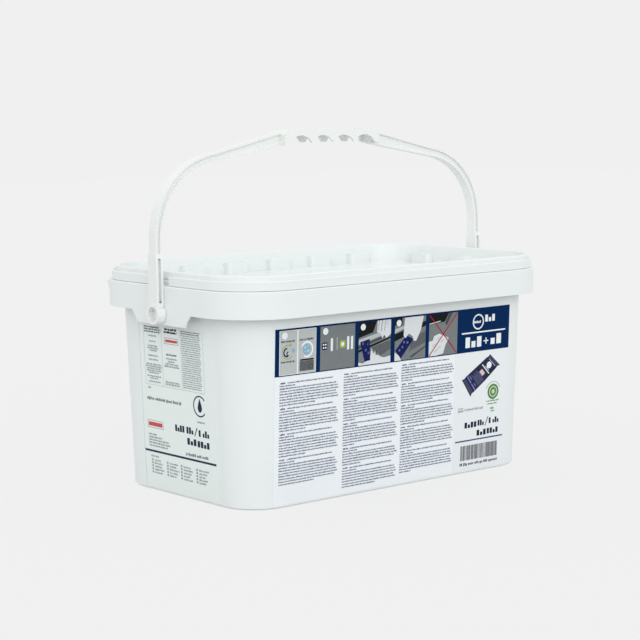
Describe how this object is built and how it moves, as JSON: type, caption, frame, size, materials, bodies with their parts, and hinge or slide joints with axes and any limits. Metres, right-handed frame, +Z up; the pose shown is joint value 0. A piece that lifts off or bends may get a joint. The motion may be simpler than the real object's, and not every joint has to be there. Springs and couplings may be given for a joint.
{
  "type": "oven cleaning tablet tub",
  "caption": "Rectangular moulded plastic tub with flared collar, snap lid with recessed panel, swinging bail handle with finger grip, wrapped cleaning tablets inside and printed labels.",
  "frame": {"origin": "centre of the tub's foot, on the surface that it stands on", "axes": "+X along the tub's length, -Y out of the side with the main label, +Z up"},
  "size_m": [0.3552, 0.207, 0.2871],
  "materials": {
    "tub_plastic": "satin injection-moulded polypropylene",
    "lid_plastic": "satin injection-moulded polypropylene",
    "handle_plastic": "satin moulded polypropylene",
    "cleaner_wrap": "glossy wrapping film",
    "rinse_wrap": "glossy wrapping film",
    "label_film": "satin in-mould label film",
    "panel_film": "satin in-mould label film",
    "banner_print": "satin print",
    "picture_print": "satin print",
    "small_print": "satin print",
    "tablet_print": "satin print",
    "green_print": "satin print",
    "dark_print": "satin print",
    "end_film": "satin in-mould label film",
    "grey_print": "satin print"
  },
  "bodies": {
    "tub_body": {"tub": "tub_plastic", "cleaner_tablets": "cleaner_wrap", "rinse_tablets": "rinse_wrap", "front_label": "label_film", "front_side_panel": "panel_film", "front_banner": "banner_print", "front_pictures": "picture_print", "front_text": "small_print", "front_tablet_picture": "tablet_print", "front_green_dot": "green_print", "front_barcode": "dark_print", "end_label": "end_film", "end_table": "grey_print", "end_rule": "dark_print", "end_ring": "dark_print"},
    "lid_body": {"lid": "lid_plastic"},
    "handle_body": {"handle": "handle_plastic"}
  },
  "joints": [
    {"name": "handle_swing", "type": "hinge", "parent": "tub_body", "child": "handle_body", "pos_m": [0, 0, 0.1469], "axis": [1, 0, 0], "range_deg": [-120, 120]},
    {"name": "lid_lift", "type": "slide", "parent": "tub_body", "child": "lid_body", "axis": [0, 0, 1], "range_m": [0, 0.04]}
  ]
}
